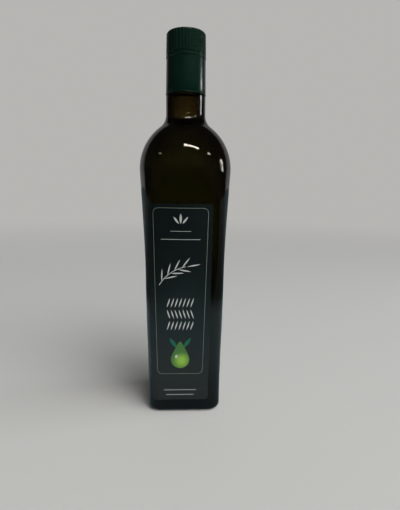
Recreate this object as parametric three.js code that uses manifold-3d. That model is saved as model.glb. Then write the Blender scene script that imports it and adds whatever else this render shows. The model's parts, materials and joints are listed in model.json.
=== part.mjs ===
// An oil bottle of dark glass: a body that is square with round corners at its base and turns rounder and
// wider up to its shoulders, a round neck, an aluminium screw cap with a knurled top, one paper label on
// the front, and the oil inside.
// Millimetres, +Z up. The origin is the middle of the base, where the bottle stands. The label faces -Y.

import * as THREE from 'three';
import { mergeVertices } from 'three/addons/utils/BufferGeometryUtils.js';
import Module from 'manifold-3d';

const wasm = await Module();
wasm.setup();

// Glass body. A half width runs from the axis to the middle of a side.
const BASE_HALF = 29.6;
const SHOULDER_HALF = 37;
const FLARE_FROM_Z = 18; // the sides stand upright below this height
const FLARE_POWER = 1.53; // and lean out faster and faster above it
const SIDE_TOP_Z = 195.2;
const HEEL_RADIUS = 4.5;
const CORNER_SHARE = 0.33; // corner radius at the base, as a share of the half width
const STANDING_RING_WIDTH = 5;
const PUSH_UP = 2.5; // the middle of the base is raised by this much

// Shoulder and neck.
const SHOULDER_RADIUS = 41;
const NECK_FILLET = 12.3;
const NECK_RADIUS = 15.7;
const ROUND_START_Z = 60; // the square plan turns into a circle between these heights
const ROUND_END_Z = 240;
const NECK_TOP_Z = 253.5; // above this height the neck turns in to the finish, inside the cap
const NECK_TURN_RADIUS = 1.8;
const FINISH_RADIUS = 14;
const MOUTH_Z = 298.6;
const MOUTH_ROUNDING = 1;

// Inside of the glass, and the oil that fills it into the neck.
const WALL = 2.5;
const FLOOR_Z = 7;
const INNER_HEEL_RADIUS = 7;
const BORE_RADIUS = 11.5;
const INNER_FILLET = 20;
const OIL_GAP = 0.3;
const OIL_LEVEL_Z = 260;

// Screw cap: a knurled top, two grooves round the tear line, and a plain skirt. Its wall leans in a little
// twice: from the foot of the skirt up to the lower groove, and from there up to the top of the knurls.
const CAP_TOP_Z = 301.4;
const CAP_HEIGHT = 46.2;
const CAP_RADIUS = 15.8;
const SKIRT_TOP_Z = 282.1;
const SKIRT_TOP_RADIUS = 15.45;
const BAND_RADIUS = 15.7;
const KNURL_TOP_RADIUS = 15.35;
const CAP_WALL = 1.3;
const CAP_RIM_WALL = 0.8; // the bore opens out to this wall at the rim
const CAP_BORE_FLARE = 2.5;
const CAP_TOP_WALL = 2.6;
const CAP_EDGE_RADIUS = 0.9;
const CAP_RIM_FLARE = 0.2;
const CAP_RIM_HEIGHT = 1.2;
const GROOVE_DEPTH = 0.35;
const TEAR_GROOVES = [
  { z: 285.3, height: 0.6 },
  { z: 282.1, height: 0.6 },
];
const KNURL_COUNT = 36;
const KNURL_DEPTH = 0.45;
const KNURL_FROM_Z = 286.2;
const KNURL_TO_Z = 300.4;
const KNURL_FOOT = 0.84; // widths of a knurl at its foot and its crest, as shares of the pitch
const KNURL_CREST = 0.5;
const KNURL_ROOT = 0.1; // the wall behind the knurls lies this far inside their feet

// Paper label, wrapped on the front a little left of the middle.
const LABEL_TOP_WIDTH = 49.2;
const LABEL_BOTTOM_WIDTH = 45.7;
const LABEL_BOTTOM_Z = 11.3;
const LABEL_TOP_Z = 171;
const LABEL_OFFSET_X = -3.5;
const LABEL_CORNER_RADIUS = 2.5;
const LABEL_THICKNESS = 0.2;
const LABEL_GAP = 0.15;

// How finely round shapes are split.
const BODY_SEGMENTS = 48;
const CORNER_CROWDING = 0.13; // moves the segments of the body towards its corners
const SIDE_STEPS = 6;
const ROUND_STEPS = 6;
const EDGE_STEPS = 4;
const CAP_SEGMENTS = 48;
const LABEL_COLUMNS = 32;
const LABEL_ROWS = 10;
const MERGE_TOLERANCE = 1e-4;
const HALVINGS = 30;

const glassMaterial = new THREE.MeshStandardMaterial({ color: 0x0d1008, roughness: 0.05, metalness: 0 });
const oilMaterial = new THREE.MeshStandardMaterial({ color: 0x5a4a08, roughness: 0.1, metalness: 0 });
const capMaterial = new THREE.MeshStandardMaterial({ color: 0x0c2a1c, roughness: 0.35, metalness: 0.4 });
const labelMaterial = new THREE.MeshStandardMaterial({ color: 0x141c18, roughness: 0.5, metalness: 0 });

const arc = (x, z, radius, from, to, steps) =>
  new THREE.EllipseCurve(x, z, radius, radius, from, to, to < from).getPoints(steps);

// Half width of the body's sides at a height.
function sideHalf(z) {
  const rise = Math.max(0, z - FLARE_FROM_Z) / (SIDE_TOP_Z - FLARE_FROM_Z);
  return BASE_HALF + (SHOULDER_HALF - BASE_HALF) * rise ** FLARE_POWER;
}

// Outline up the side, over the shoulder and into the neck, moved in from the glass's outside by an inset.
// The shoulder's round and the neck's hollow meet where they lean alike.
function bodyOutline(inset, neckRadius, neckFillet) {
  const lean = Math.atan((FLARE_POWER * (SHOULDER_HALF - BASE_HALF)) / (SIDE_TOP_Z - FLARE_FROM_Z));
  const shoulderRadius = SHOULDER_RADIUS - inset;
  const centreX = SHOULDER_HALF - SHOULDER_RADIUS * Math.cos(lean);
  const centreZ = SIDE_TOP_Z + SHOULDER_RADIUS * Math.sin(lean);
  const meet = Math.acos((neckRadius + neckFillet - centreX) / (shoulderRadius + neckFillet));
  const filletZ = centreZ + (shoulderRadius + neckFillet) * Math.sin(meet);
  const side = [];
  for (let i = 0; i < SIDE_STEPS; i++) {
    const z = THREE.MathUtils.lerp(FLARE_FROM_Z, SIDE_TOP_Z, i / SIDE_STEPS);
    side.push(new THREE.Vector2(sideHalf(z) - inset, z));
  }
  const shoulder = arc(centreX, centreZ, shoulderRadius, -lean, meet, ROUND_STEPS);
  const hollow = arc(neckRadius + neckFillet, filletZ, neckFillet, Math.PI + meet, Math.PI, ROUND_STEPS);
  return [...side, ...shoulder, ...hollow.slice(1)];
}

// Distance from the axis to the bottle's plan at an angle: a square with round corners, a circle in the neck.
function planReach(angle, half, z) {
  const quarter = Math.PI / 2;
  const fold = Math.abs(THREE.MathUtils.euclideanModulo(angle + quarter / 2, quarter) - quarter / 2);
  const corner = CORNER_SHARE * half;
  const centre = half - corner;
  const towards = centre * (Math.cos(fold) + Math.sin(fold));
  const onSide = half * Math.tan(fold) <= centre;
  const square = onSide
    ? half / Math.cos(fold)
    : towards + Math.sqrt(towards ** 2 - 2 * centre ** 2 + corner ** 2);
  return THREE.MathUtils.lerp(square, half, THREE.MathUtils.smoothstep(z, ROUND_START_Z, ROUND_END_Z));
}

// A turned shape, upright.
function turned(points, segments) {
  return new THREE.LatheGeometry(points, segments).rotateX(Math.PI / 2);
}

// A turned shape pressed into the bottle's square plan.
function squared(points) {
  const geometry = turned(points, BODY_SEGMENTS);
  const position = geometry.getAttribute('position');
  for (let i = 0; i < position.count; i++) {
    const [x, y, z] = [position.getX(i), position.getY(i), position.getZ(i)];
    const half = Math.hypot(x, y);
    const even = Math.atan2(y, x);
    const angle = even + CORNER_CROWDING * Math.sin(4 * even);
    const reach = planReach(angle, half, z);
    position.setXY(i, reach * Math.cos(angle), reach * Math.sin(angle));
  }
  return geometry;
}

// A closed geometry as a solid for joining and cutting.
function toSolid(geometry) {
  const bare = geometry.clone();
  bare.deleteAttribute('normal');
  bare.deleteAttribute('uv');
  const merged = mergeVertices(bare, MERGE_TOLERANCE);
  return new wasm.Manifold(
    new wasm.Mesh({
      numProp: 3,
      vertProperties: merged.getAttribute('position').array,
      triVerts: new Uint32Array(merged.index.array),
    }),
  );
}

function toGeometry(solid) {
  const { vertProperties, triVerts } = solid.getMesh();
  const geometry = new THREE.BufferGeometry();
  geometry.setAttribute('position', new THREE.BufferAttribute(vertProperties, 3));
  geometry.setIndex(new THREE.BufferAttribute(triVerts, 1));
  geometry.computeVertexNormals();
  return geometry;
}

function named(name, geometry, material) {
  const mesh = new THREE.Mesh(geometry, material);
  mesh.name = name;
  return mesh;
}

// Glass: the base with its push-up and standing ring, the outside up to the mouth, and the inside back down.
function makeGlass() {
  const ringOuter = BASE_HALF - HEEL_RADIUS;
  const ringInner = ringOuter - STANDING_RING_WIDTH;
  const pushUp = new THREE.QuadraticBezierCurve(
    new THREE.Vector2(0, PUSH_UP),
    new THREE.Vector2(ringInner / 2, PUSH_UP),
    new THREE.Vector2(ringInner, 0),
  ).getPoints(EDGE_STEPS);
  const heel = arc(ringOuter, HEEL_RADIUS, HEEL_RADIUS, -Math.PI / 2, 0, EDGE_STEPS);
  const outside = bodyOutline(0, NECK_RADIUS, NECK_FILLET);
  const turn = Math.acos(1 - (NECK_RADIUS - FINISH_RADIUS) / NECK_TURN_RADIUS);
  const turnIn = arc(NECK_RADIUS - NECK_TURN_RADIUS, NECK_TOP_Z, NECK_TURN_RADIUS, 0, turn, EDGE_STEPS);
  const finish = [
    new THREE.Vector2(FINISH_RADIUS, MOUTH_Z - MOUTH_ROUNDING),
    new THREE.Vector2(FINISH_RADIUS - MOUTH_ROUNDING, MOUTH_Z),
    new THREE.Vector2(BORE_RADIUS, MOUTH_Z),
  ];
  return squared([...pushUp, ...heel, ...outside, ...turnIn, ...finish, ...insideOutline(0).reverse()]);
}

// Inside of the glass from the middle of its floor up to the bore, moved in by a gap.
function insideOutline(gap) {
  const inset = WALL + gap;
  const floor = FLOOR_Z + gap;
  const heelX = BASE_HALF - inset - INNER_HEEL_RADIUS;
  const heelZ = floor + INNER_HEEL_RADIUS;
  const heel = arc(heelX, heelZ, INNER_HEEL_RADIUS, -Math.PI / 2, 0, EDGE_STEPS);
  const wall = bodyOutline(inset, BORE_RADIUS - gap, INNER_FILLET + gap);
  return [new THREE.Vector2(0, floor), ...heel, ...wall];
}

// Oil: everything inside the glass up to its level in the neck.
function makeOil() {
  const top = [new THREE.Vector2(BORE_RADIUS - OIL_GAP, OIL_LEVEL_Z), new THREE.Vector2(0, OIL_LEVEL_Z)];
  return squared([...insideOutline(OIL_GAP), ...top]);
}

// Radius of the cap's wall at a height, at the crests of the knurls where it has them.
function capRadius(z) {
  const { mapLinear } = THREE.MathUtils;
  if (z < SKIRT_TOP_Z) return mapLinear(z, CAP_TOP_Z - CAP_HEIGHT, SKIRT_TOP_Z, CAP_RADIUS, SKIRT_TOP_RADIUS);
  return mapLinear(z, SKIRT_TOP_Z, KNURL_TO_Z, BAND_RADIUS, KNURL_TOP_RADIUS);
}

// Outline of the cap's outside from the rim up to the middle of its top.
function capOutside() {
  const rimZ = CAP_TOP_Z - CAP_HEIGHT;
  const onWall = (z, sink) => new THREE.Vector2(capRadius(z) - sink, z);
  const rim = [
    new THREE.Vector2(CAP_RADIUS + CAP_RIM_FLARE, rimZ),
    new THREE.Vector2(CAP_RADIUS + CAP_RIM_FLARE, rimZ + CAP_RIM_HEIGHT / 2),
    onWall(rimZ + CAP_RIM_HEIGHT, 0),
  ];
  const grooves = TEAR_GROOVES.toReversed().flatMap(({ z, height }) => [
    onWall(z - height / 2 - GROOVE_DEPTH / 2, 0),
    new THREE.Vector2(SKIRT_TOP_RADIUS - GROOVE_DEPTH, z - height / 2),
    new THREE.Vector2(SKIRT_TOP_RADIUS - GROOVE_DEPTH, z + height / 2),
    onWall(z + height / 2 + GROOVE_DEPTH / 2, 0),
  ]);
  const ledge = [onWall(KNURL_FROM_Z, 0), onWall(KNURL_FROM_Z, KNURL_DEPTH + KNURL_ROOT)];
  const edgeX = KNURL_TOP_RADIUS - KNURL_DEPTH - KNURL_ROOT - CAP_EDGE_RADIUS;
  const edge = arc(edgeX, CAP_TOP_Z - CAP_EDGE_RADIUS, CAP_EDGE_RADIUS, 0, Math.PI / 2, EDGE_STEPS);
  return [...rim, ...grooves, ...ledge, ...edge, new THREE.Vector2(0, CAP_TOP_Z)];
}

// The knurls: a ring whose outside goes in and out once for each of them, and leans in with the cap's wall.
function makeKnurls() {
  const outline = [];
  const pitch = (2 * Math.PI) / KNURL_COUNT;
  const crest = capRadius(KNURL_FROM_Z);
  const core = crest - KNURL_DEPTH;
  const stations = [
    [-KNURL_FOOT / 2, core],
    [-KNURL_CREST / 2, crest],
    [KNURL_CREST / 2, crest],
    [KNURL_FOOT / 2, core],
  ];
  for (let i = 0; i < KNURL_COUNT; i++) {
    for (const [share, radius] of stations) {
      const angle = (i + share) * pitch;
      outline.push(new THREE.Vector2(radius * Math.cos(angle), radius * Math.sin(angle)));
    }
  }
  const shape = new THREE.Shape(outline);
  shape.holes.push(new THREE.Path().absarc(0, 0, core - 2 * KNURL_ROOT, 0, 2 * Math.PI, true));
  const ring = new THREE.ExtrudeGeometry(shape, {
    depth: KNURL_TO_Z - KNURL_FROM_Z,
    bevelEnabled: false,
    curveSegments: CAP_SEGMENTS,
  }).translate(0, 0, KNURL_FROM_Z);
  const position = ring.getAttribute('position');
  for (let i = 0; i < position.count; i++) {
    const share = capRadius(position.getZ(i)) / crest;
    position.setXY(i, position.getX(i) * share, position.getY(i) * share);
  }
  return ring;
}

// Cap: a turned shell, open below, with the knurls joined on round its top.
function makeCap() {
  const bore = CAP_RADIUS - CAP_WALL;
  const inside = [
    new THREE.Vector2(0, CAP_TOP_Z - CAP_TOP_WALL),
    new THREE.Vector2(bore, CAP_TOP_Z - CAP_TOP_WALL),
    new THREE.Vector2(bore, CAP_TOP_Z - CAP_HEIGHT + CAP_BORE_FLARE),
    new THREE.Vector2(CAP_RADIUS - CAP_RIM_WALL, CAP_TOP_Z - CAP_HEIGHT),
  ];
  const shell = turned([...inside, ...capOutside()], CAP_SEGMENTS);
  return toGeometry(toSolid(shell).add(toSolid(makeKnurls())));
}

// Front of the glass at a distance from its middle and a height, as a distance from the axis plane. The angle
// at which the plan lies that far from the middle is found by halving.
function frontReach(x, z) {
  const half = sideHalf(z);
  let [low, high] = [0, Math.PI / 2];
  for (let i = 0; i < HALVINGS; i++) {
    const angle = (low + high) / 2;
    if (planReach(angle, half, z) * Math.sin(angle) < Math.abs(x)) low = angle;
    else high = angle;
  }
  return planReach(low, half, z) * Math.cos(low);
}

// Label: a thin slab laid on the front of the glass, cut to a tapering outline with round corners.
function makeLabel() {
  const height = LABEL_TOP_Z - LABEL_BOTTOM_Z;
  const slab = new THREE.BoxGeometry(LABEL_TOP_WIDTH, LABEL_THICKNESS, height, LABEL_COLUMNS, 1, LABEL_ROWS);
  slab.translate(LABEL_OFFSET_X, 0, LABEL_BOTTOM_Z + height / 2);
  const position = slab.getAttribute('position');
  for (let i = 0; i < position.count; i++) {
    const lift = LABEL_GAP + LABEL_THICKNESS / 2 - position.getY(i);
    position.setY(i, -(frontReach(position.getX(i), position.getZ(i)) + lift));
  }
  const outline = tapered(LABEL_TOP_WIDTH / 2, LABEL_BOTTOM_WIDTH / 2, height, LABEL_CORNER_RADIUS);
  const cutter = new THREE.ExtrudeGeometry(outline, {
    depth: 2 * SHOULDER_HALF,
    bevelEnabled: false,
    curveSegments: EDGE_STEPS,
  });
  cutter.rotateX(Math.PI / 2).translate(LABEL_OFFSET_X, 0, LABEL_BOTTOM_Z);
  return toGeometry(toSolid(slab).intersect(toSolid(cutter)));
}

// A tapering outline with round corners, its foot on the X axis.
function tapered(topHalf, bottomHalf, height, radius) {
  const shape = new THREE.Shape();
  shape.moveTo(-bottomHalf + radius, 0);
  shape.lineTo(bottomHalf - radius, 0);
  shape.quadraticCurveTo(bottomHalf, 0, bottomHalf, radius);
  shape.lineTo(topHalf, height - radius);
  shape.quadraticCurveTo(topHalf, height, topHalf - radius, height);
  shape.lineTo(-topHalf + radius, height);
  shape.quadraticCurveTo(-topHalf, height, -topHalf, height - radius);
  shape.lineTo(-bottomHalf, radius);
  shape.quadraticCurveTo(-bottomHalf, 0, -bottomHalf + radius, 0);
  return shape;
}

const bottle = new THREE.Group();
bottle.name = 'oil_bottle';
bottle.add(
  named('glass_bottle', makeGlass(), glassMaterial),
  named('oil', makeOil(), oilMaterial),
  named('screw_cap', makeCap(), capMaterial),
  named('front_label', makeLabel(), labelMaterial),
);

export default bottle;
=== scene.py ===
import json
import math
import bmesh
import bpy
from mathutils import Matrix

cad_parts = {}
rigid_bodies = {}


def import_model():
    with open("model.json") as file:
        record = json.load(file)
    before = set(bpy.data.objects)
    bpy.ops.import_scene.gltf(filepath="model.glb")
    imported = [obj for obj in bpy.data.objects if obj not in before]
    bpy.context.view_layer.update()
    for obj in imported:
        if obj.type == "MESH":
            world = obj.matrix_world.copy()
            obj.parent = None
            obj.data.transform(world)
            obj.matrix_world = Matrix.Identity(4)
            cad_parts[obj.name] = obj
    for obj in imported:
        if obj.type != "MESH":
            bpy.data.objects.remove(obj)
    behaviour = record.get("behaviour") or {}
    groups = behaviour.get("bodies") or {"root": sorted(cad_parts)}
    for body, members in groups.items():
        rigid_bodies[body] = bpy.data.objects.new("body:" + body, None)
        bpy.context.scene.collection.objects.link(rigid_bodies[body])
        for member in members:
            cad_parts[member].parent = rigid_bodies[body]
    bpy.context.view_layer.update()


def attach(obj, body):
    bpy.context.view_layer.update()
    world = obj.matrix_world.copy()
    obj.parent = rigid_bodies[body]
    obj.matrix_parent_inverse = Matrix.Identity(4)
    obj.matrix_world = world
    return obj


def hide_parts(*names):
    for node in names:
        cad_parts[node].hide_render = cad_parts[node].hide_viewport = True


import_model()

# Glass bottle: blown in a mould from dark green glass, square with round corners at its foot, and wider and
# rounder up to its shoulders. The outside, the mouth, the inside and the floor are one closed skin.
base_half = 0.0296
shoulder_half = 0.0370
flare_from = 0.018
flare_power = 1.53
side_top = 0.1952
heel_radius = 0.0045
corner_share = 0.33
corner_cuts = 10
side_cuts = 15
shoulder_radius = 0.041
neck_fillet = 0.0123
neck_radius = 0.0157
round_start = 0.060
round_end = 0.240
neck_top = 0.2535
neck_turn = 0.0018
finish_radius = 0.014
mouth_height = 0.2986
mouth_rounding = 0.001
wall = 0.0025
floor_height = 0.007
inner_heel = 0.007
bore_radius = 0.0115
inner_fillet = 0.020
standing_ring = 0.005
push_up = 0.0025
dome_rings = [1.0, 0.78, 0.55, 0.3, 0.1]
outer_steps = 14
outer_bend_steps = 8
inner_steps = 12
inner_bend_steps = 6
glass_smooth_angle = 60
same_place = 1e-6


def side_half(height):
    """Distance from the axis to the middle of the glass's outer side."""
    rise = max(0.0, height - flare_from) / (side_top - flare_from)
    return base_half + (shoulder_half - base_half) * rise**flare_power


def roundness(height):
    """How far the square plan has turned into a circle, from 0 to 1."""
    share = min(1.0, max(0.0, (height - round_start) / (round_end - round_start)))
    return share * share * (3 - 2 * share)


def arc(centre, height, radius, start, end, steps):
    """Points (half width, height) along an arc."""
    angles = [start + (end - start) * step / steps for step in range(steps + 1)]
    return [(centre + radius * math.cos(angle), height + radius * math.sin(angle)) for angle in angles]


def wall_outline(inset, neck, fillet, steps):
    """Half widths and heights up a side, over the shoulder and into the neck, moved in by an inset."""
    lean = math.atan(flare_power * (shoulder_half - base_half) / (side_top - flare_from))
    radius = shoulder_radius - inset
    centre = shoulder_half - shoulder_radius * math.cos(lean)
    centre_height = side_top + shoulder_radius * math.sin(lean)
    meet = math.acos((neck + fillet - centre) / (radius + fillet))
    fillet_height = centre_height + (radius + fillet) * math.sin(meet)
    heights = [flare_from + (side_top - flare_from) * step / steps for step in range(steps)]
    side = [(side_half(height) - inset, height) for height in heights]
    shoulder = arc(centre, centre_height, radius, -lean, meet, steps)
    hollow = arc(neck + fillet, fillet_height, fillet, math.pi + meet, math.pi, steps)
    return side + shoulder + hollow[1:]


def selected_points():
    """Places of the selected points of the mesh in edit mode."""
    shape = bmesh.from_edit_mesh(bpy.context.object.data)
    return [vert.co.copy() for vert in shape.verts if vert.select]


def select_points(test):
    """Selects just the points that pass a test of their place, with the edges and faces between them."""
    bpy.ops.mesh.select_all(action="DESELECT")
    shape = bmesh.from_edit_mesh(bpy.context.object.data)
    for vert in shape.verts:
        vert.select_set(test(vert.co))
    shape.select_flush(True)
    bmesh.update_edit_mesh(bpy.context.object.data)


def square_loop(half, height):
    """A level loop with round corners, its straight runs split, left selected."""
    bpy.ops.mesh.primitive_plane_add(size=2 * half, location=(0, 0, height))
    bpy.ops.mesh.bevel(offset=corner_share * half, segments=corner_cuts, affect="VERTICES")
    bpy.ops.mesh.select_linked()
    bpy.ops.mesh.delete(type="ONLY_FACE")
    shape = bmesh.from_edit_mesh(bpy.context.object.data)
    for edge in shape.edges:
        level = abs(edge.verts[0].co.z - height) + abs(edge.verts[1].co.z - height) < same_place
        edge.select_set(level and edge.is_wire and edge.calc_length() > half)
    bmesh.update_edit_mesh(bpy.context.object.data)
    bpy.ops.mesh.subdivide(number_cuts=side_cuts)
    bpy.ops.mesh.select_linked()


def extrude_to(height):
    """Extrudes what is selected straight up or down to a height, and gives the height that it came from."""
    before = selected_points()[0].z
    bpy.ops.mesh.extrude_region_move(TRANSFORM_OT_translate={"value": (0, 0, height - before)})
    return before


def scale_to(half, height):
    """Scales what is selected about the axis until it reaches a half width."""
    share = half / max(point.x for point in selected_points())
    bpy.ops.transform.resize(value=(share, share, 1), center_override=(0, 0, height))


def raise_loop(half, height):
    """Extrudes the selected loop to a height, rounds it as that height asks, and sets its half width."""
    before = extrude_to(height)
    if roundness(height) > roundness(before):
        ring = selected_points()
        mean = sum(point.xy.length for point in ring) / len(ring) / max(point.x for point in ring)
        kept = (1 - roundness(height)) / (1 - roundness(before))
        rounding = (1 - kept) / (1 - kept + kept * mean)
        bpy.ops.transform.tosphere(value=rounding, center_override=(0, 0, height))
    scale_to(half, height)


def close_up(smooth_angle):
    """Leaves edit mode with the skin merged, facing outwards and shaded smooth."""
    bpy.ops.mesh.select_all(action="SELECT")
    bpy.ops.mesh.remove_doubles(threshold=same_place)
    bpy.ops.mesh.normals_make_consistent(inside=False)
    bpy.ops.object.mode_set(mode="OBJECT")
    bpy.ops.object.shade_smooth_by_angle(angle=math.radians(smooth_angle))


def new_piece(name):
    """An empty piece, left in edit mode."""
    bpy.ops.object.select_all(action="DESELECT")
    bpy.ops.mesh.primitive_plane_add()
    piece = bpy.context.object
    piece.name = name
    bpy.ops.object.mode_set(mode="EDIT")
    bpy.ops.mesh.delete(type="VERT")
    return piece


glass = new_piece("bottle_glass")
foot_half = base_half - heel_radius
square_loop(foot_half, 0.0)
heel = arc(foot_half, heel_radius, heel_radius, -math.pi / 2, 0, outer_bend_steps)
outside = wall_outline(0.0, neck_radius, neck_fillet, outer_steps)
turn_angle = math.acos(1 - (neck_radius - finish_radius) / neck_turn)
turn_in = arc(neck_radius - neck_turn, neck_top, neck_turn, 0, turn_angle, outer_bend_steps)
finish = [
    (finish_radius, mouth_height - mouth_rounding),
    (finish_radius - mouth_rounding, mouth_height),
]
for half, height in heel[1:] + outside + turn_in + finish:
    raise_loop(half, height)

inner_foot = base_half - wall - inner_heel
square_loop(inner_foot, floor_height)
hollow_heel = arc(inner_foot, floor_height + inner_heel, inner_heel, -math.pi / 2, 0, inner_bend_steps)
for half, height in hollow_heel[1:] + wall_outline(wall, bore_radius, inner_fillet, inner_steps):
    raise_loop(half, height)
raise_loop(bore_radius, mouth_height - mouth_rounding)

select_points(lambda point: abs(point.z - floor_height) < same_place)
bpy.ops.mesh.edge_face_add()
select_points(lambda point: abs(point.z) < same_place)
bpy.ops.mesh.edge_face_add()
dome_half = foot_half - standing_ring
for ring in dome_rings:
    dome_height = push_up * (1 - ring**2)
    extrude_to(dome_height)
    scale_to(ring * dome_half, dome_height)
bpy.ops.mesh.select_all(action="DESELECT")
bpy.ops.mesh.select_non_manifold()
bpy.ops.mesh.bridge_edge_loops()
close_up(glass_smooth_angle)

# Marks of handling are shared by all the materials of the bottle: broad faint smears, and fine dust. Each
# material says at what scale they lie on it.
handling = bpy.data.node_groups.new("handling_marks", "ShaderNodeTree")
handling.interface.new_socket("Smear Scale", in_out="INPUT", socket_type="NodeSocketFloat")
handling.interface.new_socket("Dust Scale", in_out="INPUT", socket_type="NodeSocketFloat")
handling.interface.new_socket("Smears", in_out="OUTPUT", socket_type="NodeSocketFloat")
handling.interface.new_socket("Dust", in_out="OUTPUT", socket_type="NodeSocketFloat")
nodes, links = handling.nodes, handling.links
group_in = nodes.new("NodeGroupInput")
group_out = nodes.new("NodeGroupOutput")
place = nodes.new("ShaderNodeTexCoord")
smear = nodes.new("ShaderNodeTexNoise")
smear.inputs["Detail"].default_value = 5.0
smear.inputs["Roughness"].default_value = 0.6
smear.inputs["Distortion"].default_value = 0.8
dust = nodes.new("ShaderNodeTexNoise")
dust.inputs["Detail"].default_value = 2.0
speck = nodes.new("ShaderNodeMapRange")
speck.inputs["From Min"].default_value = 0.62
speck.inputs["From Max"].default_value = 0.74
links.new(place.outputs["Object"], smear.inputs["Vector"])
links.new(place.outputs["Object"], dust.inputs["Vector"])
links.new(group_in.outputs["Smear Scale"], smear.inputs["Scale"])
links.new(group_in.outputs["Dust Scale"], dust.inputs["Scale"])
links.new(dust.outputs["Fac"], speck.inputs["Value"])
links.new(smear.outputs["Fac"], group_out.inputs["Smears"])
links.new(speck.outputs["Result"], group_out.inputs["Dust"])


def new_material(name):
    """A material with just its shader and output, and its nodes and links."""
    material = bpy.data.materials.new(name)
    material.use_nodes = True
    return material, material.node_tree.nodes, material.node_tree.links


def add_marks(nodes, smear_scale, dust_scale):
    """The marks of handling, at the scales that suit one surface."""
    marks = nodes.new("ShaderNodeGroup")
    marks.node_tree = handling
    marks.inputs["Smear Scale"].default_value = smear_scale
    marks.inputs["Dust Scale"].default_value = dust_scale
    return marks


def add_range(nodes, links, source, low, high, start=0.0, end=1.0):
    """A value that goes from low to high while its source goes from start to end."""
    spread = nodes.new("ShaderNodeMapRange")
    spread.inputs["From Min"].default_value = start
    spread.inputs["From Max"].default_value = end
    spread.inputs["To Min"].default_value = low
    spread.inputs["To Max"].default_value = high
    links.new(source, spread.inputs["Value"])
    return spread.outputs["Result"]


def add_relief(nodes, links, source, strength, distance, shader):
    """Raises a shader's surface where its source is high."""
    relief = nodes.new("ShaderNodeBump")
    relief.inputs["Strength"].default_value = strength
    relief.inputs["Distance"].default_value = distance
    links.new(source, relief.inputs["Height"])
    links.new(relief.outputs["Normal"], shader.inputs["Normal"])


# The glass is clear on its faces and takes light away by depth, most of all blue, so thin parts glow olive.
# Its moulded skin waves a very little, and smears of handling dull it in places.
glass_dark, nodes, links = new_material("dark_green_glass")
skin = nodes["Principled BSDF"]
skin.inputs["Base Color"].default_value = (1.0, 1.0, 1.0, 1.0)
skin.inputs["IOR"].default_value = 1.52
skin.inputs["Transmission Weight"].default_value = 1.0
marks = add_marks(nodes, smear_scale=55.0, dust_scale=2600.0)
links.new(add_range(nodes, links, marks.outputs["Smears"], 0.0, 0.025), skin.inputs["Roughness"])
place = nodes.new("ShaderNodeTexCoord")
wave = nodes.new("ShaderNodeTexNoise")
wave.inputs["Scale"].default_value = 38.0
wave.inputs["Detail"].default_value = 1.0
links.new(place.outputs["Object"], wave.inputs["Vector"])
add_relief(nodes, links, wave.outputs["Fac"], strength=0.12, distance=0.0004, shader=skin)
depth = nodes.new("ShaderNodeVolumeAbsorption")
depth.inputs["Color"].default_value = (0.363, 0.245, 0.0, 1.0)
depth.inputs["Density"].default_value = 474.0
links.new(depth.outputs["Volume"], nodes["Material Output"].inputs["Volume"])
glass.data.materials.append(glass_dark)
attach(glass, "root")
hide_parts("glass_bottle")

# Oil: it fills the glass up into the neck. Its skin bites just into the glass's inner wall, so that no air
# shows between the two, and its level is flat with a thin rise at the bore, given as steps inwards and down.
oil_level = 0.260
oil_bite = 0.00005
rise_at_bore = [(0.0008, 0.0005), (0.0020, 0.0002)]
oil = new_piece("bottle_oil")
oil_inset = wall - oil_bite
oil_floor = floor_height - oil_bite
oil_foot = base_half - oil_inset - inner_heel
oil_radius = bore_radius + oil_bite
square_loop(oil_foot, oil_floor)
oil_heel = arc(oil_foot, oil_floor + inner_heel, inner_heel, -math.pi / 2, 0, inner_bend_steps)
oil_side = wall_outline(oil_inset, oil_radius, inner_fillet - oil_bite, inner_steps)
for half, height in oil_heel[1:] + oil_side:
    raise_loop(half, height)
raise_loop(oil_radius, oil_level)
bpy.ops.mesh.edge_face_add()
for width, drop in rise_at_bore:
    bpy.ops.mesh.inset(thickness=width)
    bpy.ops.transform.translate(value=(0, 0, -drop))
select_points(lambda point: abs(point.z - oil_floor) < same_place)
bpy.ops.mesh.edge_face_add()
close_up(glass_smooth_angle)

oil_gold, nodes, links = new_material("olive_oil")
body = nodes["Principled BSDF"]
body.inputs["Base Color"].default_value = (1.0, 1.0, 1.0, 1.0)
body.inputs["IOR"].default_value = 1.47
body.inputs["Transmission Weight"].default_value = 1.0
marks = add_marks(nodes, smear_scale=30.0, dust_scale=900.0)
links.new(add_range(nodes, links, marks.outputs["Smears"], 0.0, 0.02), body.inputs["Roughness"])
depth = nodes.new("ShaderNodeVolumeAbsorption")
depth.inputs["Color"].default_value = (0.31, 0.360, 0.0, 1.0)
depth.inputs["Density"].default_value = 60.0
links.new(depth.outputs["Volume"], nodes["Material Output"].inputs["Volume"])
oil.data.materials.append(oil_gold)
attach(oil, "root")
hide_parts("oil")

# Screw cap: drawn from thin aluminium, lacquered green, and rolled onto the neck. Fine ribs give a grip
# round its top, two pressed rings mark the band where it tears open, and the long skirt ends in a small
# rolled rim.
cap_top = 0.3014
cap_rim = 0.2552
cap_radius = 0.0158
cap_bore = 0.0145
cap_ceiling = 0.2988
ceiling_inset = 0.0005
bore_middle = 0.2700
bore_flare = 0.0005
bore_flare_height = 0.0025
rim_bead = 0.0004
rim_set_back = 0.0002
rim_shade_from = cap_rim + 0.0003
rim_shade_to = cap_rim + 0.0008
skirt_rises = [0.0012, 0.0100, 0.0200]
skirt_top = 0.2821
skirt_top_radius = 0.01545
band_radius = 0.0157
ring_heights = [0.2821, 0.2853]
ring_depth = 0.00035
ring_half = 0.0004
rib_count = 36
points_per_rib = 8
rib_depth = 0.00045
rib_sinks = [(2, 0.08), (3, 0.72), (4, 1.0)]
rib_end = 0.00015
rib_from = 0.2862
rib_to = 0.3004
rib_top_radius = 0.01535
edge_radius = 0.0009
bead_steps = 6
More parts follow.
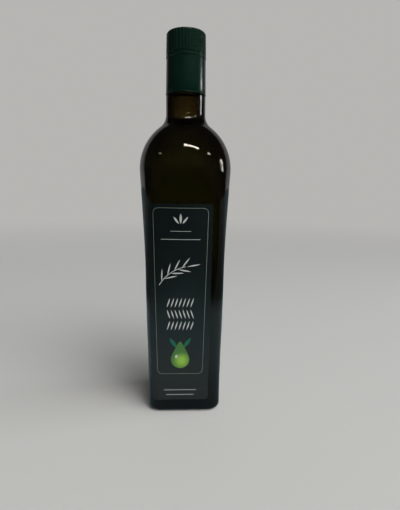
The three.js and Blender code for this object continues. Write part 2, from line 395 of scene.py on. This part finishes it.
top_insets = [0.0010, 0.0030, 0.0060]
cap_smooth_angle = 35


def cap_wall(height):
    """Radius of the cap's wall, which leans in up to the lower ring and again from there up to the top."""
    if height < skirt_top:
        return cap_radius + (skirt_top_radius - cap_radius) * (height - cap_rim) / (skirt_top - cap_rim)
    return band_radius + (rib_top_radius - band_radius) * (height - skirt_top) / (rib_to - skirt_top)


def select_rib_points(steps):
    """Selects the points on the ribs that lie some steps away from the nearest crest."""
    pitch = 2 * math.pi / rib_count
    slack = 0.1

    def chosen(point):
        turn = (math.atan2(point.y, point.x) / pitch) % 1.0
        away = min(turn, 1 - turn) * points_per_rib
        ribbed = rib_from + rib_end / 2 < point.z < rib_to - rib_end / 2
        return ribbed and math.hypot(point.x, point.y) > cap_bore and abs(away - steps) < slack

    select_points(chosen)


cap = new_piece("screw_cap_shell")
bpy.ops.mesh.primitive_circle_add(
    vertices=rib_count * points_per_rib, radius=cap_bore, fill_type="NGON", location=(0, 0, cap_ceiling)
)
bpy.ops.mesh.inset(thickness=ceiling_inset)
select_points(lambda point: math.hypot(point.x, point.y) > cap_bore - ceiling_inset / 2)
cap_profile = [
    (cap_bore, bore_middle),
    (cap_bore, cap_rim + bore_flare_height),
    (cap_bore + bore_flare, cap_rim),
]
bead_middle = cap_radius - rim_set_back
cap_profile += arc(bead_middle, cap_rim + rim_bead, rim_bead, -math.pi / 2, math.pi / 2, bead_steps)
cap_profile += [(cap_wall(cap_rim + rise), cap_rim + rise) for rise in skirt_rises]
for ring_height in ring_heights:
    cap_profile.append((cap_wall(ring_height - ring_half), ring_height - ring_half))
    cap_profile.append((skirt_top_radius - ring_depth, ring_height))
    cap_profile.append((cap_wall(ring_height + ring_half), ring_height + ring_half))
rib_rows = [rib_from, rib_from + rib_end, rib_from + 2 * rib_end, rib_to - 2 * rib_end, rib_to - rib_end]
cap_profile += [(cap_wall(height), height) for height in rib_rows]
edge_middle = rib_top_radius - rib_depth - edge_radius
cap_profile += [(rib_top_radius - rib_depth, rib_to)]
cap_profile += arc(edge_middle, cap_top - edge_radius, edge_radius, 0, math.pi / 2, bead_steps)
for radius, height in cap_profile:
    extrude_to(height)
    scale_to(radius, height)
bpy.ops.mesh.edge_face_add()
for thickness in top_insets:
    bpy.ops.mesh.inset(thickness=thickness)
# Points some steps away from a crest sink by a share of the ribs' depth.
for steps, sink in rib_sinks:
    select_rib_points(steps)
    share = 1 - sink * rib_depth / cap_radius
    bpy.ops.transform.resize(value=(share, share, 1), center_override=(0, 0, rib_from))
close_up(cap_smooth_angle)


def add_tones(nodes, links, factor):
    """A mix of two colours by a factor, with the colours still to be given."""
    tones = nodes.new("ShaderNodeMix")
    tones.data_type = "RGBA"
    links.new(factor, tones.inputs["Factor"])
    return tones


def add_axes(nodes, links, socket):
    """The X, Y and Z of a place or direction."""
    place = nodes.new("ShaderNodeTexCoord")
    axes = nodes.new("ShaderNodeSeparateXYZ")
    links.new(place.outputs[socket], axes.inputs["Vector"])
    return axes.outputs


# The lacquer varies a little in tone. Under the rolled rim it is painted nearly black: painted shade for
# the shadowed gap between the rim and the neck.
cap_green, nodes, links = new_material("green_lacquer")
lacquer = nodes["Principled BSDF"]
lacquer.inputs["IOR"].default_value = 1.5
lacquer.inputs["Coat Weight"].default_value = 0.3
lacquer.inputs["Coat Roughness"].default_value = 0.12
marks = add_marks(nodes, smear_scale=90.0, dust_scale=3000.0)
tone = add_tones(nodes, links, marks.outputs["Smears"])
tone.inputs["A"].default_value = (0.0008, 0.0090, 0.0053, 1.0)
tone.inputs["B"].default_value = (0.0015, 0.0140, 0.0085, 1.0)
above_table = add_axes(nodes, links, "Object")["Z"]
above_rim = add_range(nodes, links, above_table, 0.1, 1.0, start=rim_shade_from, end=rim_shade_to)
painted_rim_shade = add_tones(nodes, links, above_rim)
painted_rim_shade.inputs["A"].default_value = (0.0003, 0.0008, 0.0005, 1.0)
links.new(tone.outputs["Result"], painted_rim_shade.inputs["B"])
links.new(painted_rim_shade.outputs["Result"], lacquer.inputs["Base Color"])
links.new(add_range(nodes, links, marks.outputs["Smears"], 0.20, 0.30), lacquer.inputs["Roughness"])
add_relief(nodes, links, marks.outputs["Dust"], strength=0.1, distance=0.00005, shader=lacquer)
cap.data.materials.append(cap_green)
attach(cap, "root")
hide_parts("screw_cap")

# Label: one dark sheet of satin paper with round corners, wider at its top as the face is, stuck on the
# front and running a little onto the left corner.
label_middle = -0.0035
label_bottom = 0.0113
label_top = 0.1710
label_top_half = 0.0246
label_bottom_half = 0.02285
label_corner = 0.0025
label_corner_cuts = 6
label_thickness = 0.00020
label_lift = 0.00002
label_smooth_angle = 35
before_glass = -0.06
upright = (math.pi / 2, 0, 0)


def cuts(first, gap, count):
    """Places at even gaps, from the first one on."""
    return [first + gap * step for step in range(count)]


def flat_sheet(name, bottom, top, bottom_half, top_half):
    """A tapering upright sheet in front of the glass, facing the camera's side, left in edit mode."""
    middle = (bottom + top) / 2
    centre = (label_middle, before_glass, middle)
    bpy.ops.object.select_all(action="DESELECT")
    bpy.ops.mesh.primitive_plane_add(size=1, location=centre, rotation=upright)
    sheet = bpy.context.object
    sheet.name = name
    sheet.scale = (2 * bottom_half, top - bottom, 1)
    bpy.ops.object.transform_apply(location=True, rotation=True, scale=True)
    bpy.ops.object.mode_set(mode="EDIT")
    select_points(lambda point: point.z > middle)
    bpy.ops.transform.resize(value=(top_half / bottom_half, 1, 1), center_override=centre)
    bpy.ops.mesh.select_all(action="SELECT")
    return sheet


def slice_sheet(columns, rows):
    """Cuts the mesh in edit mode across at the given places, so that it can bend."""
    for place_x in columns:
        bpy.ops.mesh.select_all(action="SELECT")
        bpy.ops.mesh.bisect(plane_co=(place_x, 0, 0), plane_no=(1, 0, 0))
    for place_z in rows:
        bpy.ops.mesh.select_all(action="SELECT")
        bpy.ops.mesh.bisect(plane_co=(0, 0, place_z), plane_no=(0, 0, 1))
    bpy.ops.object.mode_set(mode="OBJECT")


def lay_on_glass(sheet, lift, thickness):
    """Presses a flat sheet back onto the front of the glass, a little proud, and gives it thickness."""
    press = sheet.modifiers.new("press", "SHRINKWRAP")
    press.target = glass
    press.wrap_method = "PROJECT"
    press.use_project_y = True
    press.use_positive_direction = True
    press.use_negative_direction = False
    press.offset = lift
    bpy.ops.object.modifier_apply(modifier="press")
    body = sheet.modifiers.new("body", "SOLIDIFY")
    body.thickness = thickness
    body.offset = 1.0
    bpy.ops.object.modifier_apply(modifier="body")
    bpy.ops.object.shade_smooth_by_angle(angle=math.radians(label_smooth_angle))


label = flat_sheet("label_paper", label_bottom, label_top, label_bottom_half, label_top_half)
bpy.ops.mesh.bevel(offset=label_corner, segments=label_corner_cuts, affect="VERTICES")
label_columns = cuts(label_middle - 0.0243, gap=0.0009, count=55)
label_rows = cuts(label_bottom + 0.004, gap=0.004, count=39)
slice_sheet(label_columns, label_rows)
lay_on_glass(label, label_lift, label_thickness)

# The paper is almost black. Towards its foot it is painted paler and greyer, a painted reflection of the
# table in front of it.
paper_dark, nodes, links = new_material("dark_label_paper")
paper = nodes["Principled BSDF"]
paper.inputs["IOR"].default_value = 1.48
marks = add_marks(nodes, smear_scale=45.0, dust_scale=4200.0)
tone = add_tones(nodes, links, marks.outputs["Smears"])
tone.inputs["A"].default_value = (0.0030, 0.0062, 0.0060, 1.0)
tone.inputs["B"].default_value = (0.0055, 0.0090, 0.0088, 1.0)
above_table = add_axes(nodes, links, "Object")["Z"]
painted_floor_sheen = add_tones(nodes, links, add_range(nodes, links, above_table, 1.0, 0.0, start=0.020, end=0.075))
links.new(tone.outputs["Result"], painted_floor_sheen.inputs["A"])
painted_floor_sheen.inputs["B"].default_value = (0.0125, 0.0145, 0.0140, 1.0)
links.new(painted_floor_sheen.outputs["Result"], paper.inputs["Base Color"])
links.new(add_range(nodes, links, marks.outputs["Smears"], 0.20, 0.30), paper.inputs["Roughness"])
add_relief(nodes, links, marks.outputs["Dust"], strength=0.12, distance=0.00004, shader=paper)
label.data.materials.append(paper_dark)
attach(label, "root")
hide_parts("front_label")

# Frame on the label: one thin pale green line with round corners, tapering as the label does. Like the rest
# of the print, it is ink with a little body to it.
print_lift = label_lift + label_thickness
print_thickness = 0.00005
frame_bottom = 0.0338
frame_top = 0.1681
frame_bottom_half = 0.01815
frame_top_half = 0.0213
frame_corner = 0.0042
frame_corner_cuts = 8
frame_line = 0.00022


def new_ink(name, light, dark):
    """A printed ink that varies between two tones."""
    material, nodes, links = new_material(name)
    ink = nodes["Principled BSDF"]
    ink.inputs["IOR"].default_value = 1.45
    marks = add_marks(nodes, smear_scale=160.0, dust_scale=4200.0)
    tone = add_tones(nodes, links, marks.outputs["Smears"])
    tone.inputs["A"].default_value = light
    tone.inputs["B"].default_value = dark
    links.new(tone.outputs["Result"], ink.inputs["Base Color"])
    links.new(add_range(nodes, links, marks.outputs["Smears"], 0.35, 0.5), ink.inputs["Roughness"])
    return material


border = flat_sheet("label_frame", frame_bottom, frame_top, frame_bottom_half, frame_top_half)
bpy.ops.mesh.bevel(offset=frame_corner, segments=frame_corner_cuts, affect="VERTICES")
bpy.ops.mesh.select_all(action="SELECT")
bpy.ops.mesh.inset(thickness=frame_line)
bpy.ops.mesh.delete(type="ONLY_FACE")
frame_columns = cuts(label_middle - 0.020, gap=0.002, count=21)
frame_rows = cuts(frame_bottom + 0.004, gap=0.004, count=32)
slice_sheet(frame_columns, frame_rows)
lay_on_glass(border, print_lift, print_thickness)
ink_pale_green = new_ink("pale_green_ink", (0.21, 0.255, 0.20, 1.0), (0.155, 0.195, 0.15, 1.0))
border.data.materials.append(ink_pale_green)
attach(border, "root")

# Sprout at the head of the label: three small upright leaves printed in off-white on the dark paper, the
# middle one the tallest.
middle_leaf_height = 0.1601
middle_leaf_size = (0.0080, 0.0028)
side_leaf_height = 0.1588
side_leaf_size = (0.0068, 0.0024)
side_leaf_across = 0.0034
side_leaf_splay = 38
leaf_side_cuts = 5
leaf_side_rounding = 70
print_columns = cuts(label_middle - 0.0195, gap=0.0015, count=27)


def narrow_selection(test):
    """Keeps selected just those selected points that pass a test of their place."""
    shape = bmesh.from_edit_mesh(bpy.context.object.data)
    chosen = [vert for vert in shape.verts if vert.select and test(vert.co)]
    bpy.ops.mesh.select_all(action="DESELECT")
    for vert in chosen:
        vert.select_set(True)
    bmesh.update_edit_mesh(bpy.context.object.data)


def add_disc(centre, radius, points, fill="NGON"):
    """An upright disc in front of the glass, or just its rim where the fill is NOTHING."""
    bpy.ops.mesh.primitive_circle_add(
        vertices=points, radius=radius, fill_type=fill, location=centre, rotation=upright
    )


def add_leaf(across, height, length, width, heading):
    """A flat leaf about a place on the label, which points along a heading in degrees from the right."""
    centre = (label_middle + across, before_glass, height)
    add_disc(centre, 0.5, 4)
    bpy.ops.transform.resize(value=(width, 1, length), center_override=centre)
    narrow_selection(lambda point: abs(point.x - centre[0]) > width / 4)
    bpy.ops.mesh.bevel(
        offset_type="PERCENT", offset_pct=leaf_side_rounding, segments=leaf_side_cuts, affect="VERTICES"
    )
    bpy.ops.mesh.select_linked()
    bpy.ops.transform.rotate(value=math.radians(heading - 90), orient_axis="Y", center_override=centre)


def finish_print(piece, rows, lift, ink):
    """Slices printed shapes, lays them on the label and gives them their ink."""
    slice_sheet(print_columns, rows)
    lay_on_glass(piece, lift, print_thickness)
    piece.data.materials.append(ink)
    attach(piece, "root")


sprout = new_piece("label_sprout")
add_leaf(0.0, middle_leaf_height, *middle_leaf_size, 90)
for side in (-1, 1):
    add_leaf(side * side_leaf_across, side_leaf_height, *side_leaf_size, 90 - side * side_leaf_splay)
ink_white = new_ink("off_white_ink", (0.42, 0.44, 0.43, 1.0), (0.33, 0.35, 0.34, 1.0))
finish_print(sprout, cuts(0.156, gap=0.002, count=5), print_lift, ink_white)

# Rules: fine straight lines of pale grey print with round ends, two under the sprout and two at the foot.
# Each row gives a line's height on the label, half its length and its width.
rule_lines = [
    (0.1505, 0.0080, 0.0003),
    (0.1442, 0.0150, 0.0004),
    (0.0198, 0.0132, 0.0005),
    (0.0157, 0.0112, 0.0005),
]
rule_end_share = 0.45
rule_end_cuts = 3
rules = new_piece("label_rules")
for height, half, line in rule_lines:
    centre = (label_middle, before_glass, height)
    bpy.ops.mesh.primitive_plane_add(size=1, location=centre, rotation=upright)
    bpy.ops.transform.resize(value=(2 * half, 1, line), center_override=centre)
    bpy.ops.mesh.bevel(offset=line * rule_end_share, segments=rule_end_cuts, affect="VERTICES")
ink_grey = new_ink("pale_grey_ink", (0.34, 0.36, 0.35, 1.0), (0.26, 0.28, 0.27, 1.0))
finish_print(rules, [], print_lift, ink_grey)

# Branch: a thin bent stem with slender leaves on both sides by turns and one at its tip, printed in one
# pass of off-white. The stem is a stretch of a ring, and bearings are in degrees round that ring.
branch_centre = (label_middle + 0.0105, before_glass, 0.0925)
branch_radius = 0.0310
branch_ring_points = 120
stem_line = 0.0005
stem_tip_bearing = 100
stem_foot_bearing = 150
branch_leaf_length = 0.0105
branch_leaf_width = 0.0017
first_leaf_bearing = 144
leaf_bearing_gap = 6
side_leaf_count = 7
branch_leaf_splay = 34
branch_leaves = [
    (first_leaf_bearing - leaf_bearing_gap * leaf, branch_leaf_splay * (-1) ** leaf)
    for leaf in range(side_leaf_count)
]
branch_leaves.append((stem_tip_bearing, 0))


def off_stem(point):
    """True for points of the ring beyond the two ends of the stem."""
    bearing = math.degrees(math.atan2(point.z - branch_centre[2], point.x - branch_centre[0]))
    return not stem_tip_bearing < bearing < stem_foot_bearing


branch = new_piece("label_branch")
add_disc(branch_centre, branch_radius, branch_ring_points, fill="NOTHING")
bpy.ops.mesh.extrude_region_move()
stem_share = 1 + stem_line / branch_radius
bpy.ops.transform.resize(value=(stem_share, 1, stem_share), center_override=branch_centre)
bpy.ops.mesh.select_linked()
narrow_selection(off_stem)
bpy.ops.mesh.delete(type="VERT")
for bearing, splay in branch_leaves:
    heading = math.radians(bearing - 90 + splay)
    root_x = branch_centre[0] - label_middle + branch_radius * math.cos(math.radians(bearing))
    root_z = branch_centre[2] + branch_radius * math.sin(math.radians(bearing))
    middle_x = root_x + branch_leaf_length / 2 * math.cos(heading)
    middle_z = root_z + branch_leaf_length / 2 * math.sin(heading)
    add_leaf(middle_x, middle_z, branch_leaf_length, branch_leaf_width, math.degrees(heading))
finish_print(branch, cuts(0.106, gap=0.003, count=11), print_lift, ink_white)

# Rows of small leaves across the middle of the label, three of them, slanted one way and the other by
# turns. They are printed in the same off-white. Each row has its height and its leaves' heading.
leaf_rows = [(0.0940, 72), (0.0845, 108), (0.0750, 72)]
row_leaf_size = (0.0082, 0.0016)
row_leaf_gap = 0.0031
rows_print = new_piece("label_leaf_rows")
for height, heading in leaf_rows:
    for step in range(-3, 4):
        add_leaf(row_leaf_gap * step, height, *row_leaf_size, heading)
finish_print(rows_print, cuts(0.070, gap=0.003, count=10), print_lift, ink_white)

# Drop: one green drop of oil, lighter in its middle and with a white glint, over a pair of dark green
# leaves. The three are printed one on the other.
drop_middle = 0.0462
drop_radius = 0.0074
drop_points = 48
drop_tip_share = 0.99
drop_tip_rise = 0.0078
drop_tip_reach = 0.0088
drop_light_from = 0.0020
drop_light_off = (0.0012, -0.0008)
sprig_across = 0.0054
sprig_height = 0.0602
sprig_leaf_size = (0.0110, 0.0048)
sprig_splay = 35
glint_off = (-0.0030, 0.0026)
glint_radius = 0.0013
glint_points = 20
glint_stretch = (0.85, 1, 1.15)
sprig = new_piece("label_sprig")
for side in (-1, 1):
    add_leaf(side * sprig_across, sprig_height, *sprig_leaf_size, 90 - side * sprig_splay)
ink_leaf_green = new_ink("leaf_green_ink", (0.004, 0.105, 0.060, 1.0), (0.003, 0.080, 0.046, 1.0))
finish_print(sprig, cuts(0.056, gap=0.003, count=4), print_lift, ink_leaf_green)

drop = new_piece("label_drop")
add_disc((label_middle, before_glass, drop_middle), drop_radius, drop_points)
narrow_selection(lambda point: point.z > drop_middle + drop_tip_share * drop_radius)
bpy.ops.transform.translate(
    value=(0, 0, drop_tip_rise),
    use_proportional_edit=True,
    proportional_edit_falloff="SHARP",
    proportional_size=drop_tip_reach,
)
ink_drop = new_ink("drop_green_ink", (0.20, 0.38, 0.045, 1.0), (0.045, 0.13, 0.030, 1.0))
nodes, links = ink_drop.node_tree.nodes, ink_drop.node_tree.links
place = nodes.new("ShaderNodeTexCoord")
on_label = nodes.new("ShaderNodeVectorMath")
on_label.operation = "MULTIPLY"
on_label.inputs[1].default_value = (1.0, 0.0, 1.0)
links.new(place.outputs["Object"], on_label.inputs[0])
off_light = nodes.new("ShaderNodeVectorMath")
off_light.operation = "DISTANCE"
off_light.inputs[1].default_value = (label_middle + drop_light_off[0], 0.0, drop_middle + drop_light_off[1])
links.new(on_label.outputs["Vector"], off_light.inputs[0])
distance = off_light.outputs["Value"]
darker = add_range(nodes, links, distance, 0.0, 1.0, start=drop_light_from, end=drop_radius)
links.new(darker, nodes["Mix"].inputs["Factor"])
finish_print(drop, cuts(0.040, gap=0.002, count=12), print_lift + print_thickness, ink_drop)

glint = new_piece("label_drop_glint")
glint_centre = (label_middle + glint_off[0], before_glass, drop_middle + glint_off[1])
add_disc(glint_centre, glint_radius, glint_points)
bpy.ops.transform.resize(value=glint_stretch, center_override=glint_centre)
finish_print(glint, [], print_lift + 2 * print_thickness, ink_white)

# Floor: a plain pale table top, wide enough to fill the view, that fades into the backdrop far away. So
# that dark glass looks dark, the bottle mirrors only a painted reflection: for glossy rays the table glows
# as a table that ends near it, darker near the bottle's foot as painted shadow. For rays through the glass
# it glows with painted light only in the part behind it.
floor_size = 30.0
backdrop_tone = (0.47, 0.465, 0.45, 1.0)
bpy.ops.object.select_all(action="DESELECT")
bpy.ops.mesh.primitive_plane_add(size=floor_size, location=(0, 0, 0))
table = bpy.context.object
table.name = "table_top"


def add_math(nodes, links, operation, *values):
    """The result of a Math node on its values."""
    working = nodes.new("ShaderNodeMath")
    working.operation = operation
    for value, socket in zip(values, working.inputs):
        links.new(value, socket)
    return working.outputs["Value"]


def add_choice(nodes, links, factor, first, second):
    """The first shader where a factor is 0, and the second where it is 1."""
    choice = nodes.new("ShaderNodeMixShader")
    links.new(factor, choice.inputs["Fac"])
    links.new(first, choice.inputs[1])
    links.new(second, choice.inputs[2])
    return choice.outputs["Shader"]


table_pale, nodes, links = new_material("pale_table")
pale = nodes["Principled BSDF"]
pale.inputs["Base Color"].default_value = (0.60, 0.60, 0.585, 1.0)
pale.inputs["Roughness"].default_value = 0.6
place = nodes.new("ShaderNodeTexCoord")
off_axis = nodes.new("ShaderNodeVectorMath")
off_axis.operation = "LENGTH"
links.new(place.outputs["Object"], off_axis.inputs[0])
reach = off_axis.outputs["Value"]
axes = add_axes(nodes, links, "Object")

haze = nodes.new("ShaderNodeEmission")
haze.inputs["Color"].default_value = backdrop_tone
haze_share = add_range(nodes, links, reach, 0.0, 1.0, start=0.30, end=2.20)
haze_share.node.interpolation_type = "SMOOTHSTEP"
ground = add_choice(nodes, links, haze_share, pale.outputs["BSDF"], haze.outputs["Emission"])

# Painted reflection of the table for glossy rays, dimmed near the bottle's foot as painted shadow.
painted_reflection = nodes.new("ShaderNodeEmission")
painted_reflection.inputs["Color"].default_value = (0.31, 0.405, 0.435, 1.0)
foot_shade = add_range(nodes, links, reach, 0.4, 1.0, start=0.03, end=0.13)
table_end = add_range(nodes, links, reach, 1.0, 0.25, start=0.28, end=0.38)
front_end = add_range(nodes, links, axes["Y"], 0.05, 1.0, start=-0.38, end=-0.28)
both_ends = add_math(nodes, links, "MULTIPLY", table_end, front_end)
links.new(add_math(nodes, links, "MULTIPLY", foot_shade, both_ends), painted_reflection.inputs["Strength"])

# Painted light seen through the glass: the table glows brighter behind the bottle and further away, less to
# the sides.
behind = nodes.new("ShaderNodeEmission")
behind.inputs["Color"].default_value = (1.0, 0.98, 0.94, 1.0)
far_light = add_range(nodes, links, reach, 0.04, 0.60, start=0.05, end=1.90)
back_part = add_range(nodes, links, axes["Y"], 0.03, 1.0, start=0.0, end=0.10)
beside = add_math(nodes, links, "DIVIDE", add_math(nodes, links, "ABSOLUTE", axes["X"]), reach)
sideways = add_range(nodes, links, beside, 1.0, 0.3, start=0.08, end=0.36)
back_light = add_math(nodes, links, "MULTIPLY", back_part, sideways)
links.new(add_math(nodes, links, "MULTIPLY", far_light, back_light), behind.inputs["Strength"])

path = nodes.new("ShaderNodeLightPath")
opaque = add_choice(nodes, links, path.outputs["Is Glossy Ray"], ground, painted_reflection.outputs["Emission"])
surface = add_choice(nodes, links, path.outputs["Is Transmission Ray"], opaque, behind.outputs["Emission"])
links.new(surface, nodes["Material Output"].inputs["Surface"])
table.data.materials.append(table_pale)

# Light: a soft key from above on the right and a fill from the front, which only light what is matt, and
# four small lamps that the glass and the cap mirror: a panel over the camera, a strip on the right and a
# spot on each side.
warm_white = (1.0, 0.98, 0.94)
cool_white = (0.93, 0.97, 1.0)


def add_sun(name, energy, spread, tilt, swing):
    """A wide sun, tilted in degrees from straight above and swung round, that no gloss or glass shows."""
    bpy.ops.object.light_add(type="SUN")
    sun = bpy.context.object
    sun.name = name
    sun.data.energy = energy
    sun.data.angle = math.radians(spread)
    tilted = Matrix.Rotation(math.radians(tilt), 3, "X")
    swung = Matrix.Rotation(math.radians(swing), 3, "Z")
    sun.rotation_euler = (swung @ tilted).to_euler()
    sun.visible_glossy = False
    sun.visible_transmission = False


def add_lamp(name, place, turn, size, energy, colour):
    """An area light at a place, turned by angles in degrees from facing straight down."""
    bpy.ops.object.light_add(type="AREA", location=place, rotation=[math.radians(angle) for angle in turn])
    lamp = bpy.context.object
    lamp.name = name
    lamp.data.shape = "RECTANGLE"
    lamp.data.size = size[0]
    lamp.data.size_y = size[1]
    lamp.data.energy = energy
    lamp.data.color = colour


add_sun("key_sun", energy=1.5, spread=50, tilt=38, swing=60)
add_sun("fill_sun", energy=2.1, spread=60, tilt=70, swing=32)
add_lamp("ceiling_lamp", (0.367, -0.985, 1.41), (0, 0, -7), (0.94, 0.10), energy=8.0, colour=warm_white)
add_lamp("right_strip", (0.989, 0.148, 0.41), (90, 0, 98.5), (0.16, 0.28), energy=1.2, colour=cool_white)
add_lamp("right_spot", (1.13, -0.65, 1.00), (60, 0, 60), (0.09, 0.09), energy=0.35, colour=warm_white)
add_lamp("left_spot", (-1.18, -0.55, 1.00), (60, 0, -65), (0.16, 0.05), energy=0.07, colour=warm_white)

# Room: a plain pale backdrop. The bottle mirrors and lets through a pale wall behind it, which dims towards
# the sides and towards its foot, and a dark room elsewhere.
room = bpy.data.worlds.new("studio")
bpy.context.scene.world = room
room.use_nodes = True
nodes, links = room.node_tree.nodes, room.node_tree.links
backdrop = nodes["Background"]
backdrop.inputs["Color"].default_value = backdrop_tone
around = nodes.new("ShaderNodeBackground")
around.inputs["Color"].default_value = (1.0, 0.99, 0.97, 1.0)
axes = add_axes(nodes, links, "Generated")
mirrored_wall = add_range(nodes, links, axes["Y"], 0.015, 0.26, start=0.60, end=0.70)
wall_glow = add_range(nodes, links, axes["Y"], 0.10, 0.62, start=0.85, end=0.996)
higher = add_range(nodes, links, axes["Z"], 0.65, 1.0, start=0.08, end=0.17)
path = nodes.new("ShaderNodeLightPath")
strength = nodes.new("ShaderNodeMix")
links.new(path.outputs["Is Transmission Ray"], strength.inputs["Factor"])
links.new(mirrored_wall, strength.inputs["A"])
links.new(add_math(nodes, links, "MULTIPLY", wall_glow, higher), strength.inputs["B"])
links.new(strength.outputs["Result"], around.inputs["Strength"])
unseen, seen = around.outputs["Background"], backdrop.outputs["Background"]
background = add_choice(nodes, links, path.outputs["Is Camera Ray"], unseen, seen)
links.new(background, nodes["World Output"].inputs["Surface"])

# Camera: straight in front of the label, a little above the middle of the bottle, turned slightly right and
# looking down. Its angles are in degrees, and its picture is 400 by 510.
picture_width = 400
picture_height = 510
sensor_height = 36.0
look_right = 2.6
look_down = 9.3
sideways_roll = 0.73
view = bpy.data.cameras.new("camera")
view.sensor_fit = "VERTICAL"
view.sensor_height = sensor_height
view.lens = sensor_height * picture_width / picture_height
view.clip_start = 0.01
camera = bpy.data.objects.new("camera", view)
bpy.context.collection.objects.link(camera)
camera.location = (-0.00233, -0.33576, 0.18188)
turn = Matrix.Rotation(math.radians(-look_right), 3, "Z")
tilt = Matrix.Rotation(math.radians(90 - look_down), 3, "X")
roll = Matrix.Rotation(math.radians(sideways_roll), 3, "Z")
camera.rotation_euler = (turn @ tilt @ roll).to_euler()
bpy.context.scene.camera = camera
bpy.context.scene.view_settings.view_transform = "Standard"
